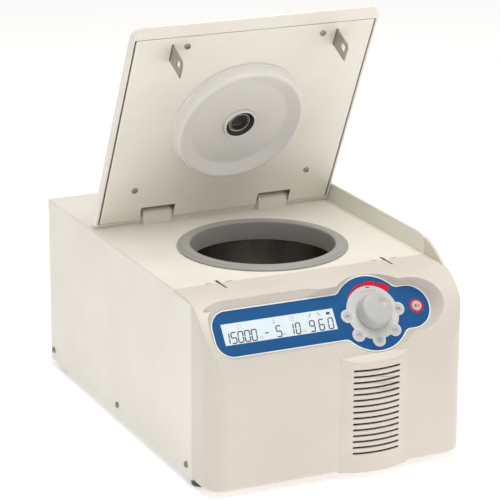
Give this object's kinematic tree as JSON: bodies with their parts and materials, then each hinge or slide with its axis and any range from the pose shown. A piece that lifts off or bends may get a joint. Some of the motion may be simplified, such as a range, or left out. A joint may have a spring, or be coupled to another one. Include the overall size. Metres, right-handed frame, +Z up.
{
  "type": "laboratory centrifuge",
  "caption": "Refrigerated bench centrifuge with a hinged lid, steel bowl, spinning rotor, sloping control face with display, knob and buttons.",
  "frame": {"origin": "centre of the bounding box in plan, at the underside of the rubber feet", "axes": "+X to the machine's right as its user faces it, +Y from the control face to the rear panel, +Z up; the lid is stored open"},
  "size_m": [0.3444, 0.542, 0.5233],
  "materials": {
    "zinc_steel": "zinc plated sheet",
    "rubber_foot": "matt",
    "cream_paint": "satin powder coat",
    "dark_screw": "blackened",
    "guard_wire": "bright wire",
    "black_plastic": "matt",
    "brass_stud": "plain",
    "cream_moulding": "fine satin",
    "blue_film": "smooth printed film",
    "grey_film": "smooth printed film",
    "lcd_glass": "clear cover over a pale display",
    "knob_plastic": "satin",
    "key_plastic": "satin",
    "board_green": "lacquered board",
    "grey_rubber": "matt",
    "brushed_bowl": "brushed stainless",
    "copper": "drawn tube",
    "foam": "rigid foam",
    "armour_steel": "painted mild steel",
    "black_rubber": "matt",
    "motor_alloy": "cast, ribbed",
    "bright_steel": "turned",
    "rotor_alloy": "hard anodised",
    "lid_moulding": "fine satin",
    "lid_paint": "satin powder coat",
    "bright_screw": "polished",
    "white_plastic": "semi-gloss",
    "port_glass": "smoked clear plastic",
    "hook_steel": "hardened, darkened",
    "black_paint": "gloss",
    "fin_alloy": "thin fins"
  },
  "bodies": {
    "cabinet": {"base_tray": "zinc_steel", "feet": "rubber_foot", "cabinet_cover": "cream_paint", "case_screws": "dark_screw", "rear_panel": "cream_paint", "fan_guard": "guard_wire", "fan_shroud": "black_plastic", "power_inlet": "black_plastic", "fuse_drawer": "black_plastic", "switch_frame": "black_plastic", "ground_stud": "brass_stud", "front_panel": "cream_moulding", "control_overlay": "blue_film", "dial_plate": "grey_film", "lcd_window": "lcd_glass", "lcd_module": "black_plastic", "encoder": "bright_steel", "control_board": "board_green", "bowl_gasket": "grey_rubber", "rotor_bowl": "brushed_bowl", "evaporator_coil": "copper", "bowl_insulation": "foam", "armour_ring": "armour_steel", "bowl_seal": "black_rubber", "mount_posts": "zinc_steel", "motor_dampers": "black_rubber", "motor_mount_plate": "zinc_steel", "motor_housing": "motor_alloy", "hinge_brackets": "zinc_steel", "hinge_pins": "bright_steel", "lock_housings": "black_plastic", "lock_motor": "zinc_steel", "compressor": "black_paint", "compressor_grommets": "black_rubber", "condenser": "fin_alloy", "filter_drier": "copper", "refrigerant_pipes": "copper", "transformer": "armour_steel", "power_board": "board_green"},
    "lid": {"lid_shell": "lid_moulding", "lid_plate": "lid_paint", "lid_screws": "bright_screw", "lid_disc": "white_plastic", "port_ring": "white_plastic", "port_glass": "port_glass", "lid_hooks": "hook_steel"},
    "rotor": {"motor_shaft": "bright_steel", "rotor_body": "rotor_alloy", "rotor_lid": "rotor_alloy", "rotor_nut": "rotor_alloy"},
    "fan": {"fan_impeller": "black_plastic"},
    "knob": {"control_knob": "knob_plastic"},
    "rocker": {"power_rocker": "black_plastic"},
    "lock_slide": {"lock_bar": "zinc_steel"},
    "button_1": {"key_1": "key_plastic"},
    "button_2": {"key_2": "key_plastic"},
    "button_3": {"key_3": "key_plastic"},
    "button_4": {"key_4": "key_plastic"},
    "button_5": {"key_5": "key_plastic"},
    "button_6": {"key_6": "key_plastic"}
  },
  "joints": [
    {"name": "lid_hinge", "type": "hinge", "parent": "cabinet", "child": "lid", "pos_m": [0, 0.11, 0.2456], "axis": [1, 0, 0], "range_deg": [0, 63.4]},
    {"name": "rotor_spindle", "type": "hinge", "parent": "cabinet", "child": "rotor", "pos_m": [0, -0.042, 0.16], "axis": [0, 0, 1], "continuous": true},
    {"name": "fan_spindle", "type": "hinge", "parent": "cabinet", "child": "fan", "pos_m": [0.076, 0.251, 0.115], "axis": [0, 1, 0], "continuous": true},
    {"name": "knob_turn", "type": "hinge", "parent": "cabinet", "child": "knob", "pos_m": [0.0587, -0.2323, 0.19805], "axis": [0, -0.7986, 0.6018], "continuous": true},
    {"name": "power_rocker_tilt", "type": "hinge", "parent": "cabinet", "child": "rocker", "pos_m": [-0.128, 0.2649, 0.095], "axis": [0, 0, 1], "range_deg": [-12, 0]},
    {"name": "lock_slide_travel", "type": "slide", "parent": "cabinet", "child": "lock_slide", "axis": [1, 0, 0], "range_m": [0, 0.008]},
    {"name": "button_1_press", "type": "slide", "parent": "cabinet", "child": "button_1", "axis": [0, 0.7986, -0.6018], "range_m": [0, 0.0008], "stiffness_N_per_m": 800},
    {"name": "button_2_press", "type": "slide", "parent": "cabinet", "child": "button_2", "axis": [0, 0.7986, -0.6018], "range_m": [0, 0.0008], "stiffness_N_per_m": 800},
    {"name": "button_3_press", "type": "slide", "parent": "cabinet", "child": "button_3", "axis": [0, 0.7986, -0.6018], "range_m": [0, 0.0008], "stiffness_N_per_m": 800},
    {"name": "button_4_press", "type": "slide", "parent": "cabinet", "child": "button_4", "axis": [0, 0.7986, -0.6018], "range_m": [0, 0.0008], "stiffness_N_per_m": 800},
    {"name": "button_5_press", "type": "slide", "parent": "cabinet", "child": "button_5", "axis": [0, 0.7986, -0.6018], "range_m": [0, 0.0008], "stiffness_N_per_m": 800},
    {"name": "button_6_press", "type": "slide", "parent": "cabinet", "child": "button_6", "axis": [0, 0.7986, -0.6018], "range_m": [0, 0.0008], "stiffness_N_per_m": 800}
  ]
}
